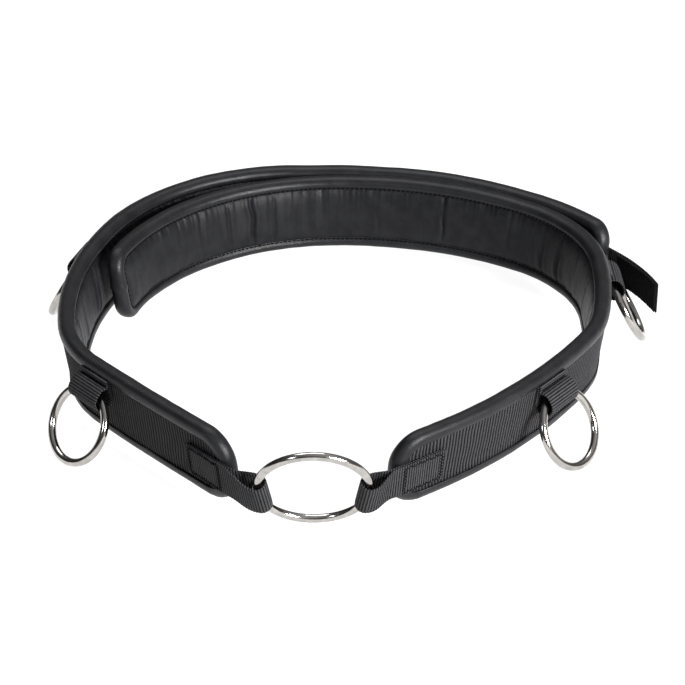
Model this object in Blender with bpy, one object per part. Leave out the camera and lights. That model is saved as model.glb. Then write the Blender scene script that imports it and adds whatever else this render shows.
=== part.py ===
"""Padded waist belt in two overlapping halves, joined at the front by a steel O-ring.

Each half is a foam band between a leather lining and a wide webbing, with a rolled
leather rim all round.  Webbing loops at the two front ends hold the large ring, four
webbing tabs hold smaller rings, and a hook-tape tail on the outer half closes the belt.

The belt stands on its rings: z = 0 is the surface under them, +Y points to the back of
the belt and +X to the right half.  Along each half, s is the distance from its front
end, w is the height above the band's lower edge and n the offset out of the band.
"""

import math

import bmesh
import bpy
import numpy as np
from mathutils import Matrix, Vector

# ---- driving dimensions, in metres and degrees ------------------------------------

BAND_HEIGHT = 0.058
BAND_THICKNESS = 0.012
RIM_DEPTH = 0.008  # how far the rolled rim covers the band from its edge
FLARE = 0.135  # outward lean of the band: offset per metre of height
STANDING_HEIGHT = 0.011  # lower edge of the band above the table
FRONT_CORNER_RADIUS = 0.024
FAR_CORNER_RADIUS = 0.017

GAP = 0.0003  # between touching pieces
BEND_GAP = 0.0006  # between the two lengths of a band where it bends
STEP = 0.011  # longest stretch of band between two cross-sections
STRAP_STEP = 0.007  # the same on a sewn strap
EYE_TURNS = 10  # facets round the half circle of a loop

LINING_THICKNESS = 0.0018
WEBBING_THICKNESS = 0.0015
WEBBING_FACE = 0.0050  # outer face of the wide webbing

STRAP_WIDTH = 0.025
STRAP_THICKNESS = 0.0014
STRAP_PATCH_LENGTH = 0.040  # sewn length of a front strap on the webbing
STRAP_HEIGHT = 0.0265  # middle of a front strap where it is sewn down
STRAP_EYE = 0.0056  # inner radius of the loop round the large ring
STRAP_REACH = 0.42  # share of the way to the ring over which the strap leaves straight
RAMP_LENGTH = 0.012  # run in which a sewn strap climbs from the webbing onto the end rim
RAMP_END = 0.012  # distance from the end of the band where it is up on the rim

TAB_WIDTH = 0.032
TAB_EYE = 0.0065
TAB_TOP = BAND_HEIGHT - RIM_DEPTH - GAP
TAB_SEAM = 0.0460  # height where the outer leg of a tab leaves the band
TAB_FLAT = 0.0368  # the inner leg lies flat on the webbing down to here
TAB_EYE_HEIGHT = 0.0365
TAB_EYE_OFFSET = 0.0131
TAB_OUTER_BELLY = 0.0110  # fullness of the tab's outer leg, then of its inner leg
TAB_INNER_BELLY = 0.0018
TAB_FOLD = 0.0015  # how softly both legs leave the seam

WIRE_RADIUS = 0.003
CENTRE_RING_RADIUS = 0.038  # to the middle of the wire: 70 mm inside
SIDE_RING_RADIUS = 0.027  # 48 mm inside

CENTRE_RING_PLACE = (-0.0194, -0.2407)  # plan position of its centre
CENTRE_RING_TILT = 23.8  # top edge leans forward from upright
CENTRE_RING_GRIP = 11.2  # the loops hold it this far below its widest line

TAIL_PATCH_LENGTH = 0.045
TAIL_LENGTH = 0.064
TAIL_HEIGHT = 0.0247
TAIL_OFFSET = 0.0072
TAIL_SPLAY = 6.0  # heading of the tail against the end of the band
TAIL_CURL = -24.0  # turn of the tail along its free length
TAIL_ROOT = 0.0022  # gap between the sewn patch and the free tail, where it bends
HOOK_START = 0.010  # hook tape begins this far along the tail
HOOK_THICKNESS = 0.0010
HOOK_MARGIN = 0.001  # strap left bare round the tape
LOOP_PANEL_HEIGHT = 0.028
LOOP_PANEL_THICKNESS = 0.0011

# The bounding box of the whole belt is centred on the origin.
FRAME_SHIFT = (-0.0058, 0.0347)

# Plan of each half: start point, start heading and a chain of tangent arcs given as
# (length, turn).  The left half runs clockwise seen from above, the right half anticlockwise.
LEFT_START, LEFT_HEADING = (-0.0701, -0.2241), 134.7
LEFT_ARCS = [
    (0.1465, -3.7), (0.0570, -33.5), (0.1610, -32.5),
    (0.1685, -65.0), (0.0670, -6.5), (0.2002, -48.66),
]
RIGHT_START, RIGHT_HEADING = (0.0295, -0.2250), 31.8
RIGHT_ARCS = [
    (0.2050, 28.2), (0.0310, 19.5), (0.0780, 12.5),
    (0.1060, 54.0), (0.1570, 36.5), (0.2200, 75.0),
]
LEFT_BEND, RIGHT_BEND = 0.248, 0.234  # where the soft band is taken to bend
LEFT_TABS = {"left_front": 0.138, "left_back": 0.328}
RIGHT_TABS = {"right_front": 0.144, "right_back": 0.315}
LOOP_PANEL_SPAN = (0.339, 0.569)

# Distance of the vertical bend axes from the centreline, clear of the band's faces.
LEFT_BEND_OFFSET, RIGHT_BEND_OFFSET = 0.014, -0.008

# ---- materials ----------------------------------------------------------------------

COLOURS = {
    "rim_leather": ((0.022, 0.022, 0.025), 0.38, 0.0),
    "lining_leather": ((0.020, 0.020, 0.023), 0.50, 0.0),
    "foam": ((0.10, 0.10, 0.11), 0.90, 0.0),
    "webbing": ((0.016, 0.016, 0.018), 0.70, 0.0),
    "strap_webbing": ((0.018, 0.018, 0.020), 0.65, 0.0),
    "hook_tape": ((0.008, 0.008, 0.009), 0.95, 0.0),
    "loop_pile": ((0.012, 0.012, 0.013), 0.95, 0.0),
    "ring_steel": ((0.72, 0.71, 0.70), 0.12, 1.0),
}


def material(object_name, finish):
    colour, roughness, metallic = COLOURS[finish]
    mat = bpy.data.materials.new(object_name + "_" + finish)
    mat.use_nodes = True
    shader = mat.node_tree.nodes["Principled BSDF"]
    shader.inputs["Base Color"].default_value = (*colour, 1.0)
    shader.inputs["Roughness"].default_value = roughness
    shader.inputs["Metallic"].default_value = metallic
    return mat


# ---- the band's surface ---------------------------------------------------------------


class Band:
    """One half's centreline in plan, and the flared surface that stands on it."""

    def __init__(self, start, heading, arcs, outward):
        self.start = np.array(start) + np.array(FRAME_SHIFT)
        self.heading = math.radians(heading)
        self.arcs = [(length, math.radians(turn) / length) for length, turn in arcs]
        self.outward = outward  # +1 if outward is to the left of the way s grows
        self.length = sum(length for length, _ in self.arcs)

    def plan(self, s):
        """Plan point and heading at distance s; the end arcs run on past the ends."""
        point, heading = self.start.copy(), self.heading
        left = s
        for index, (length, curve) in enumerate(self.arcs):
            last = index == len(self.arcs) - 1
            run = left if last or left < length else length
            turned = heading + curve * run
            point[0] += (math.sin(turned) - math.sin(heading)) / curve
            point[1] -= (math.cos(turned) - math.cos(heading)) / curve
            heading = turned
            left -= run
            if left <= 0:
                break
        return point, heading

    def along(self, s):
        heading = self.plan(s)[1]
        return Vector((math.cos(heading), math.sin(heading), 0.0))

    def out(self, s):
        heading = self.plan(s)[1] + self.outward * math.pi / 2
        return Vector((math.cos(heading), math.sin(heading), 0.0))

    def up(self, s):
        """Direction of growing w on the flared surface."""
        return (self.out(s) * FLARE + Vector((0, 0, 1))).normalized()

    def point(self, s, n, w):
        plan, _ = self.plan(s)
        lean = FLARE * (w - BAND_THICKNESS / 2)
        base = Vector((plan[0], plan[1], STANDING_HEIGHT + w))
        return base + self.out(s) * (n + lean)


LEFT = Band(LEFT_START, LEFT_HEADING, LEFT_ARCS, outward=1)
RIGHT = Band(RIGHT_START, RIGHT_HEADING, RIGHT_ARCS, outward=-1)


def spaced(first, last, step=STEP):
    """Evenly spaced values from first to last, both included."""
    count = max(1, math.ceil(abs(last - first) / step))
    return [first + (last - first) * i / count for i in range(count + 1)]


# ---- mesh helpers ----------------------------------------------------------------------


def solid(name, finish, sections, closed=False):
    """A closed body through equal cross-sections, capped unless it closes on itself."""
    mesh = bpy.data.meshes.new(name)
    bm = bmesh.new()
    rows = [[bm.verts.new(p) for p in section] for section in sections]
    size = len(rows[0])
    pairs = list(zip(rows, rows[1:]))
    if closed:
        pairs.append((rows[-1], rows[0]))
    for row, following in pairs:
        for i in range(size):
            j = (i + 1) % size
            bm.faces.new((row[i], row[j], following[j], following[i]))
    if not closed:
        bm.faces.new(rows[0][::-1])
        bm.faces.new(rows[-1])
    bmesh.ops.recalc_face_normals(bm, faces=bm.faces)
    bm.to_mesh(mesh)
    bm.free()
    mesh.shade_smooth()
    mesh.set_sharp_from_angle(angle=math.radians(35))
    body = bpy.data.objects.new(name, mesh)
    bpy.context.scene.collection.objects.link(body)
    mesh.materials.append(material(name, finish))
    return body


def inset_at_end(distance, radius):
    """How far a round corner of this radius cuts in, at a distance from the end edge."""
    if distance >= radius:
        return 0.0
    return radius - math.sqrt(max(0.0, radius**2 - (radius - distance) ** 2))


def stations(first, last, rounded_first, rounded_last, radius):
    """Places for cross-sections: close together on a rounded end, STEP apart elsewhere."""
    turns = [radius * (1 - math.cos(math.radians(a))) for a in (0, 20, 40, 60, 78)]
    lead = [first + t for t in turns] if rounded_first else [first]
    trail = [last - t for t in reversed(turns)] if rounded_last else [last]
    start = first + radius if rounded_first else first
    stop = last - radius if rounded_last else last
    middle = spaced(start, stop)
    return sorted(set(lead + middle + trail))


def layer(name, finish, band, span, rounded, inner, outer):
    """A flat layer of the band from offset inner to outer, inside the rim."""
    edge = RIM_DEPTH + GAP
    radius = (FRONT_CORNER_RADIUS if rounded == "first" else FAR_CORNER_RADIUS) - edge
    first = span[0] + (edge if rounded == "first" else 0.0)
    last = span[1] - (edge if rounded == "last" else 0.0)
    sections = []
    for s in stations(first, last, rounded == "first", rounded == "last", radius):
        end = s - first if rounded == "first" else last - s
        low = edge + inset_at_end(end, radius)
        high = BAND_HEIGHT - low
        corners = ((inner, low), (outer, low), (outer, high), (inner, high))
        sections.append([band.point(s, n, w) for n, w in corners])
    return solid(name, finish, sections)


def rim_profile():
    """Half-round section of the rim as (offset, distance in from the edge)."""
    half = BAND_THICKNESS / 2
    sides = 7  # odd, so that one facet lies flat on the very edge
    profile = [(half, RIM_DEPTH)]
    for i in range(sides + 1):
        angle = math.pi * i / sides
        profile.append((half * math.cos(angle), half - half * math.sin(angle)))
    profile.append((-half, RIM_DEPTH))
    return profile


def rim(name, band, span, rounded):
    """The rolled rim of one length of band: along one edge, round the end, and back."""
    end, bend = (span[0], span[1]) if rounded == "first" else (span[1], span[0])
    inward = 1 if rounded == "first" else -1
    radius = FRONT_CORNER_RADIUS if rounded == "first" else FAR_CORNER_RADIUS
    places = [(s, 0.0, 0.0, 1.0) for s in spaced(bend, end + inward * radius)]
    corner_steps = 6
    for low, turn_from in ((True, 0), (False, 90)):
        centre_w = radius if low else BAND_HEIGHT - radius
        for i in range(corner_steps + 1):
            angle = math.radians(turn_from + 90 * i / corner_steps)
            s = end + inward * radius * (1 - math.sin(angle))
            w = centre_w - radius * math.cos(angle)
            places.append((s, w, inward * math.sin(angle), math.cos(angle)))
    places += [(s, BAND_HEIGHT, 0.0, -1.0) for s in spaced(end + inward * radius, bend)]
    unique = [p for i, p in enumerate(places) if i == 0 or math.dist(p, places[i - 1]) > 1e-6]
    sections = []
    for s, w, in_s, in_w in unique:
        sections.append(
            [band.point(s + in_s * depth, n, w + in_w * depth) for n, depth in rim_profile()]
        )
    return solid(name, "rim_leather", sections)


def ribbon(name, finish, path, width, thickness):
    """Webbing along a path of (centre, direction across the width, thickness direction)."""
    sections = []
    for centre, across, through in path:
        a, t = across * (width / 2), through * (thickness / 2)
        sections.append([centre - a - t, centre + a - t, centre + a + t, centre - a + t])
    return solid(name, finish, sections)


def with_normals(points, across):
    """Adds the thickness direction to a path: square to its run and to its width."""
    path = []
    for i, centre in enumerate(points):
        run = points[min(i + 1, len(points) - 1)] - points[max(i - 1, 0)]
        path.append((centre, across[i], run.cross(across[i]).normalized()))
    return path


def bezier(p0, t0, t1, p1, count):
    """Inner points of a smooth curve from p0 to p1 with end tangents t0 and t1."""
    a, b = p0 + t0, p1 - t1
    points = []
    for i in range(1, count):
        u = i / count
        v = 1 - u
        points.append(p0 * v**3 + a * (3 * u * v * v) + b * (3 * u * u * v) + p1 * u**3)
    return points


def torus(name, centre, across, down, radius):
    """A welded wire ring whose plane holds the directions across and down."""
    around, wire = (48 if radius > 0.03 else 36), 10
    axis = across.cross(down).normalized()
    sections = []
    for i in range(around):
        turn = 2 * math.pi * i / around
        spoke = across * math.cos(turn) + down * math.sin(turn)
        ring = []
        for j in range(wire):
            angle = 2 * math.pi * (j + 0.5) / wire
            offset = spoke * math.cos(angle) + axis * math.sin(angle)
            ring.append(spoke * radius + offset * WIRE_RADIUS)
        sections.append(ring)
    body = solid(name, "ring_steel", sections, closed=True)
    body.location = centre
    return body


# ---- the belt's pieces -------------------------------------------------------------------


def padded_length(prefix, band, span, rounded):
    """Rim, lining, foam and wide webbing of one length of band."""
    half = BAND_THICKNESS / 2
    lining_inside = -half + LINING_THICKNESS
    webbing_inside = WEBBING_FACE - WEBBING_THICKNESS
    rim(prefix + "_rim", band, span, rounded)
    layer(prefix + "_lining", "lining_leather", band, span, rounded, -half, lining_inside)
    foam = (lining_inside + GAP, webbing_inside - GAP)
    layer(prefix + "_foam", "foam", band, span, rounded, *foam)
    layer(prefix + "_webbing", "webbing", band, span, rounded, webbing_inside, WEBBING_FACE)


def ring_directions():
    """Across and upward directions in the plane of the large ring."""
    tilt = math.radians(CENTRE_RING_TILT)
    return Vector((1, 0, 0)), Vector((0, -math.sin(tilt), math.cos(tilt)))


def centre_ring_middle():
    _, upward = ring_directions()
    height = WIRE_RADIUS + CENTRE_RING_RADIUS * upward.z
    x, y = CENTRE_RING_PLACE
    return Vector((x + FRAME_SHIFT[0], y + FRAME_SHIFT[1], height))


def half_turn(eye, lateral, forward, radius):
    """Half circle round a loop's eye, from one leg to the other."""
    points = []
    for i in range(EYE_TURNS + 1):
        angle = math.pi * i / EYE_TURNS
        points.append(eye + (lateral * math.cos(angle) + forward * math.sin(angle)) * radius)
    return points


def ramp(distance):
    """0 on the webbing, 1 on the end rim, at a distance from the end of the band."""
    return min(1.0, max(0.0, (RAMP_END + RAMP_LENGTH - distance) / RAMP_LENGTH))


def grip_radius(radius, width):
    """Distance from a ring's centre to the middle of the space its wire takes in a loop."""
    outermost = radius + WIRE_RADIUS
    innermost = math.sqrt((radius - WIRE_RADIUS) ** 2 - (width / 2) ** 2)
    return (outermost + innermost) / 2


def strap_grip(side):
    """Where a front loop holds the large ring: eye centre and the wire's direction there."""
    across, upward = ring_directions()
    angle = math.radians(CENTRE_RING_GRIP)
    spoke = across * (side * math.cos(angle)) - upward * math.sin(angle)
    wire = across * (side * math.sin(angle)) + upward * math.cos(angle)
    arm = grip_radius(CENTRE_RING_RADIUS, STRAP_WIDTH)
    return centre_ring_middle() + spoke * arm, wire


def front_strap(name, band, side):
    """A strap sewn on the webbing, over the end rim, round the ring and back beneath."""
    eye, wire = strap_grip(side)
    sewn = spaced(STRAP_PATCH_LENGTH, RAMP_LENGTH + RAMP_END, STRAP_STEP)
    sewn += spaced(RAMP_LENGTH + RAMP_END, 0.0, STRAP_STEP)[1:]
    over_rim = BAND_THICKNESS / 2 - WEBBING_FACE

    def sewn_points(level):
        points = []
        for s in sewn:
            rise = over_rim * ramp(s)
            n = WEBBING_FACE + GAP + STRAP_THICKNESS * (level + 0.5) + GAP * level + rise
            points.append(band.point(s, n, STRAP_HEIGHT))
        return points

    outer, inner = sewn_points(1), sewn_points(0)
    forward = (eye - inner[-1]).normalized()
    lateral = forward.cross(wire).normalized()
    if lateral.dot(band.out(0.0)) < 0:
        lateral = -lateral
    forward = wire.cross(lateral).normalized()
    if forward.dot(eye - inner[-1]) < 0:
        forward = -forward
    radius = STRAP_EYE + STRAP_THICKNESS / 2
    leave = -band.along(0.0)
    reach = (eye - outer[-1]).length * STRAP_REACH
    top, bottom = eye + lateral * radius, eye - lateral * radius
    points = list(outer)
    points += bezier(outer[-1], leave * reach, forward * reach, top, 6)
    points += half_turn(eye, lateral, forward, radius)
    points += bezier(bottom, -forward * reach, -leave * reach, inner[-1], 6)
    points += reversed(inner)
    flat = band.up(0.0)
    across = []
    for point in points:
        near = (point - eye).dot(forward) / (outer[-1] - eye).dot(forward)
        blend = min(1.0, max(0.0, near))
        across.append(wire.lerp(flat, blend).normalized())
    return ribbon(name, "strap_webbing", with_normals(points, across), STRAP_WIDTH, STRAP_THICKNESS)


def tab_frame(band, s):
    """Eye centre, wire direction, outward and upward directions of a side tab."""
    eye = band.point(s, TAB_EYE_OFFSET, TAB_EYE_HEIGHT)
    return eye, band.along(s), band.out(s), band.up(s)


def side_tab(name, band, s):
    """A short strap sewn under the top rim, folded round a ring and back beneath."""
    eye, along, _, _ = tab_frame(band, s)
    inner_n = WEBBING_FACE + GAP + STRAP_THICKNESS / 2
    outer_n = inner_n + STRAP_THICKNESS + GAP
    outer = [band.point(s, outer_n, w) for w in (TAB_TOP, TAB_SEAM)]
    inner = [band.point(s, inner_n, w) for w in (TAB_TOP, TAB_SEAM, TAB_FLAT)]
    drop = (outer[-1] - outer[0]).normalized()
    forward = (eye - (outer[1] + inner[1]) / 2).normalized()
    lateral = along.cross(forward).normalized()
    if lateral.dot(band.out(s)) < 0:
        lateral = -lateral
    radius = TAB_EYE + STRAP_THICKNESS / 2
    bend, belly = drop * TAB_FOLD, forward * TAB_OUTER_BELLY
    points = list(outer)
    points += bezier(outer[-1], bend, belly, eye + lateral * radius, 6)
    points += half_turn(eye, lateral, forward, radius)
    belly = -forward * TAB_INNER_BELLY
    points += bezier(eye - lateral * radius, belly, -bend, inner[-1], 6)
    points += reversed(inner)
    path = with_normals(points, [along] * len(points))
    return ribbon(name, "strap_webbing", path, TAB_WIDTH, STRAP_THICKNESS)


def side_ring(name, band, s):
    """A ring that leans out from its tab until it stands on the table."""
    eye, along, out, _ = tab_frame(band, s)
    arm = grip_radius(SIDE_RING_RADIUS, TAB_WIDTH)
    lowest = SIDE_RING_RADIUS + arm
    lean = math.acos((eye.z - WIRE_RADIUS) / lowest)
    down = out * math.sin(lean) - Vector((0, 0, 1)) * math.cos(lean)
    return torus(name, eye + down * arm, along, down, SIDE_RING_RADIUS)


def tail_path(offset, first, last):
    """Plan of the free tail, running on from the end of the outer half."""
    root = LEFT.point(LEFT.length, TAIL_OFFSET, TAIL_HEIGHT)
    begin = LEFT.plan(LEFT.length)[1] + math.radians(TAIL_SPLAY)
    curve = math.radians(TAIL_CURL) / TAIL_LENGTH
    points = []
    for run in spaced(first, last, STRAP_STEP):
        turned = begin + curve * run
        ahead = (math.sin(turned) - math.sin(begin)) / curve
        aside = (math.cos(begin) - math.cos(turned)) / curve
        normal = Vector((-math.sin(turned), math.cos(turned), 0))
        centre = root + Vector((ahead, aside, 0)) + normal * offset
        points.append((centre, Vector((0, 0, 1)), normal))
    return points


def closure():
    """Tail with its hook tape on the outer half, and the pile it grips on the inner."""
    half = STRAP_THICKNESS / 2
    on_webbing = WEBBING_FACE + GAP + half
    distances = spaced(TAIL_PATCH_LENGTH, RAMP_LENGTH + RAMP_END, STRAP_STEP)
    distances += spaced(RAMP_LENGTH + RAMP_END, 0.0, STRAP_STEP)[1:]
    sewn = []
    for distance in distances:
        s = LEFT.length - distance
        n = on_webbing + ramp(distance) * (TAIL_OFFSET - on_webbing)
        sewn.append((LEFT.point(s, n, TAIL_HEIGHT), LEFT.up(s), LEFT.out(s)))
    ribbon("tail_patch", "strap_webbing", sewn, STRAP_WIDTH, STRAP_THICKNESS)
    free = tail_path(0.0, TAIL_ROOT, TAIL_LENGTH)
    ribbon("tail_strap", "strap_webbing", free, STRAP_WIDTH, STRAP_THICKNESS)
    hook_offset = -(half + GAP + HOOK_THICKNESS / 2)
    hook = tail_path(hook_offset, HOOK_START, TAIL_LENGTH - HOOK_MARGIN)
    ribbon("tail_hook_tape", "hook_tape", hook, STRAP_WIDTH - HOOK_MARGIN, HOOK_THICKNESS)
    n = WEBBING_FACE + GAP + LOOP_PANEL_THICKNESS / 2
    middle = BAND_HEIGHT / 2
    pile = [(RIGHT.point(s, n, middle), RIGHT.up(s), RIGHT.out(s)) for s in spaced(*LOOP_PANEL_SPAN)]
    ribbon("loop_panel", "loop_pile", pile, LOOP_PANEL_HEIGHT, LOOP_PANEL_THICKNESS)


# ---- moving bodies -------------------------------------------------------------------


def joint_points():
    """A point on the joint axis of each moving body, with the pieces that move with it.

    The bends of the two halves, both swings at the large ring and the tail's bend turn
    about upright axes; each side ring turns about the wire's own line in its tab.
    """
    middle = BAND_HEIGHT / 2
    layers = ("_rim", "_lining", "_foam", "_webbing")
    tail_root = tail_path(0.0, TAIL_ROOT / 2, TAIL_LENGTH)[0][0]
    bodies = [
        (
            LEFT.point(LEFT_BEND, LEFT_BEND_OFFSET, middle),
            ["left_wing" + layer_name for layer_name in layers] + ["left_back_tab", "tail_patch"],
        ),
        (
            RIGHT.point(RIGHT_BEND, RIGHT_BEND_OFFSET, middle),
            ["right_wing" + layer_name for layer_name in layers] + ["right_back_tab", "loop_panel"],
        ),
        (strap_grip(-1)[0], ["centre_ring"]),
        (
            strap_grip(1)[0],
            ["right_front" + layer_name for layer_name in layers]
            + ["right_front_tab", "right_front_strap"],
        ),
        (tail_root, ["tail_strap", "tail_hook_tape"]),
    ]
    for band, tabs in ((LEFT, LEFT_TABS), (RIGHT, RIGHT_TABS)):
        for place, s in tabs.items():
            bodies.append((tab_frame(band, s)[0], [place + "_ring"]))
    return bodies


def move_origin(body, point):
    """Puts a piece's origin at a point and leaves its surface where it is."""
    body.data.transform(Matrix.Translation(body.location - point))
    body.location = point


def clear_scene():
    for old in list(bpy.data.objects):
        bpy.data.objects.remove(old, do_unlink=True)


def main():
    clear_scene()
    half_gap = BEND_GAP / 2
    for side, band, bend in (("left", LEFT, LEFT_BEND), ("right", RIGHT, RIGHT_BEND)):
        padded_length(side + "_front", band, (0.0, bend - half_gap), "first")
        padded_length(side + "_wing", band, (bend + half_gap, band.length), "last")
    front_strap("left_front_strap", LEFT, side=-1)
    front_strap("right_front_strap", RIGHT, side=1)
    for band, tabs in ((LEFT, LEFT_TABS), (RIGHT, RIGHT_TABS)):
        for place, s in tabs.items():
            side_tab(place + "_tab", band, s)
            side_ring(place + "_ring", band, s)
    across, upward = ring_directions()
    torus("centre_ring", centre_ring_middle(), across, -upward, CENTRE_RING_RADIUS)
    closure()
    for point, names in joint_points():
        for name in names:
            move_origin(bpy.data.objects[name], point)


main()
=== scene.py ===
"""Looks of a padded waist belt: two leather-bound halves, webbing, thread and steel rings.

Along each half, s is the distance from its front end, w the height above the band's
lower edge and n the offset out of the band, all in metres, as in the CAD part.
"""

import math

import bmesh
import bpy
import numpy as np
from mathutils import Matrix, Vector


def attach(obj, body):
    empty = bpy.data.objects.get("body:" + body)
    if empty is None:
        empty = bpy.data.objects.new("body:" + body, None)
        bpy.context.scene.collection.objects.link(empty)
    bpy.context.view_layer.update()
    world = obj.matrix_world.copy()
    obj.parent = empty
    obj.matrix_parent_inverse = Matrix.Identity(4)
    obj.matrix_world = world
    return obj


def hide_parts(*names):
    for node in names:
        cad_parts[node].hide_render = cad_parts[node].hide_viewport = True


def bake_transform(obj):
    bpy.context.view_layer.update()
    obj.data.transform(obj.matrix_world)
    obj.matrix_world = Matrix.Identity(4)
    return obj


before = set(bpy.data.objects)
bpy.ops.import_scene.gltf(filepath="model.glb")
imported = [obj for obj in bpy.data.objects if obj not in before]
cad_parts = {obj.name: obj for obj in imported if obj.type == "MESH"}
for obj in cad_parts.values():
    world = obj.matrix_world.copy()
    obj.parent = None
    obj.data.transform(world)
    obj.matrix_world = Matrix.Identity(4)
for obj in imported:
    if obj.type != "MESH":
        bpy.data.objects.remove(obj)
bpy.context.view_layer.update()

# ---- the belt's dimensions, as in the CAD part -------------------------------------------

BAND_HEIGHT, BAND_THICKNESS = 0.058, 0.012
FLARE, STANDING_HEIGHT = 0.135, 0.011
FRONT_CORNER_RADIUS, FAR_CORNER_RADIUS = 0.024, 0.017
GAP = 0.0003
WEBBING_FACE = 0.0050
STRAP_WIDTH, STRAP_THICKNESS = 0.025, 0.0014
STRAP_PATCH_LENGTH, STRAP_HEIGHT, STRAP_EYE, STRAP_REACH = 0.040, 0.0265, 0.0056, 0.42
RAMP_LENGTH = RAMP_END = 0.012
TAB_WIDTH, TAB_EYE, TAB_TOP, TAB_SEAM, TAB_FLAT = 0.032, 0.0065, 0.0497, 0.0460, 0.0368
TAB_EYE_HEIGHT, TAB_EYE_OFFSET = 0.0365, 0.0131
WIRE_RADIUS, CENTRE_RING_RADIUS, SIDE_RING_RADIUS = 0.003, 0.038, 0.027
CENTRE_RING_PLACE, CENTRE_RING_TILT, CENTRE_RING_GRIP = (-0.0194, -0.2407), 23.8, 11.2
TAIL_PATCH_LENGTH, TAIL_LENGTH, TAIL_HEIGHT, TAIL_OFFSET = 0.045, 0.064, 0.0247, 0.0072
TAIL_SPLAY, TAIL_CURL, HOOK_START, HOOK_THICKNESS = 6.0, -24.0, 0.010, 0.0010
LOOP_PANEL_SPAN, LOOP_PANEL_HEIGHT = (0.339, 0.569), 0.028
FRAME_SHIFT = (-0.0058, 0.0347)
LEFT_START, LEFT_HEADING = (-0.0701, -0.2241), 134.7
LEFT_ARCS = [
    (0.1465, -3.7), (0.0570, -33.5), (0.1610, -32.5),
    (0.1685, -65.0), (0.0670, -6.5), (0.2002, -48.66),
]
RIGHT_START, RIGHT_HEADING = (0.0295, -0.2250), 31.8
RIGHT_ARCS = [
    (0.2050, 28.2), (0.0310, 19.5), (0.0780, 12.5),
    (0.1060, 54.0), (0.1570, 36.5), (0.2200, 75.0),
]
LEFT_TABS = {"left_front": 0.138, "left_back": 0.328}
RIGHT_TABS = {"right_front": 0.144, "right_back": 0.315}

# ---- the surface's own sizes ---------------------------------------------------------------

STITCH_PITCH, STITCH_DEPTH, STITCH_LEVEL = 0.0037, 0.0080, -0.00548
SEAM_THREAD, STRAP_THREAD, TAB_THREAD, TAIL_THREAD = 0.00050, 0.00042, 0.00040, 0.00030
RIB_PITCH, STRAP_RIB_PITCH = 0.00275, 0.0020
RIB_RISE, STRAP_RIB_RISE = 0.00032, 0.00010
PAD_EDGE, PAD_FACE, PAD_BACK, PAD_CROWN = 0.0073, -0.00455, 0.0034, 0.0027
WEBBING_EDGE, WEBBING_BACK = 0.0076, 0.0036
BACK_ROWS = np.array([[1.0, 0.5, 0.0]])

# How far, in degrees, a front strap stands more upright than the ring it holds.
STRAP_SLACK = 5.0

# Deep creases across the lining: place along the half and depth.
RIGHT_CREASES = [
    (0.371, 0.0016), (0.392, 0.0014), (0.427, 0.0008), (0.484, 0.0012), (0.538, 0.0004),
    (0.623, 0.0008), (0.641, 0.0017), (0.662, 0.0009), (0.689, 0.0011), (0.711, 0.0004),
    (0.099, 0.0008), (0.180, 0.0010), (0.245, 0.0012), (0.271, 0.0009), (0.309, 0.0010),
]
LEFT_CREASES = [
    (0.118, 0.0008), (0.194, 0.0012), (0.222, 0.0010), (0.254, 0.0007), (0.298, 0.0012),
    (0.345, 0.0010), (0.410, 0.0013), (0.463, 0.0009), (0.539, 0.0012), (0.618, 0.0009),
    (0.676, 0.0012), (0.731, 0.0008),
]


def unit(v):
    return v / np.linalg.norm(v)


class Band:
    """One half's centreline in plan, and the flared surface that stands on it."""

    def __init__(self, start, heading, arcs, outward):
        self.start = np.array(start) + np.array(FRAME_SHIFT)
        self.heading = math.radians(heading)
        self.arcs = [(length, math.radians(turn) / length) for length, turn in arcs]
        self.outward = outward
        self.length = sum(length for length, _ in self.arcs)

    def plan(self, s):
        """Plan x, y and heading at distances s."""
        s = np.asarray(s, float)
        x, y, angle = np.zeros_like(s), np.zeros_like(s), np.zeros_like(s)
        px, py, heading, first = *self.start, self.heading, 0.0
        for index, (length, curve) in enumerate(self.arcs):
            here = (s >= first) | (index == 0)
            turned = heading + curve * (s - first)
            x = np.where(here, px + (np.sin(turned) - math.sin(heading)) / curve, x)
            y = np.where(here, py - (np.cos(turned) - math.cos(heading)) / curve, y)
            angle = np.where(here, turned, angle)
            end = heading + curve * length
            px += (math.sin(end) - math.sin(heading)) / curve
            py -= (math.cos(end) - math.cos(heading)) / curve
            heading, first = end, first + length
        return x, y, angle

    def point(self, s, n, w):
        s, n, w = np.broadcast_arrays(np.asarray(s, float), n, w)
        x, y, angle = self.plan(s)
        side = angle + self.outward * math.pi / 2
        reach = n + FLARE * (w - BAND_THICKNESS / 2)
        return np.stack(
            [x + np.cos(side) * reach, y + np.sin(side) * reach, STANDING_HEIGHT + w], axis=-1
        )

    def along(self, s):
        angle = float(self.plan(s)[2])
        return np.array([math.cos(angle), math.sin(angle), 0.0])

    def out(self, s):
        angle = float(self.plan(s)[2]) + self.outward * math.pi / 2
        return np.array([math.cos(angle), math.sin(angle), 0.0])

    def up(self, s):
        return unit(self.out(s) * FLARE + np.array([0, 0, 1.0]))


LEFT = Band(LEFT_START, LEFT_HEADING, LEFT_ARCS, outward=1)
RIGHT = Band(RIGHT_START, RIGHT_HEADING, RIGHT_ARCS, outward=-1)

# ---- noise and mesh helpers ------------------------------------------------------------------


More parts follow.
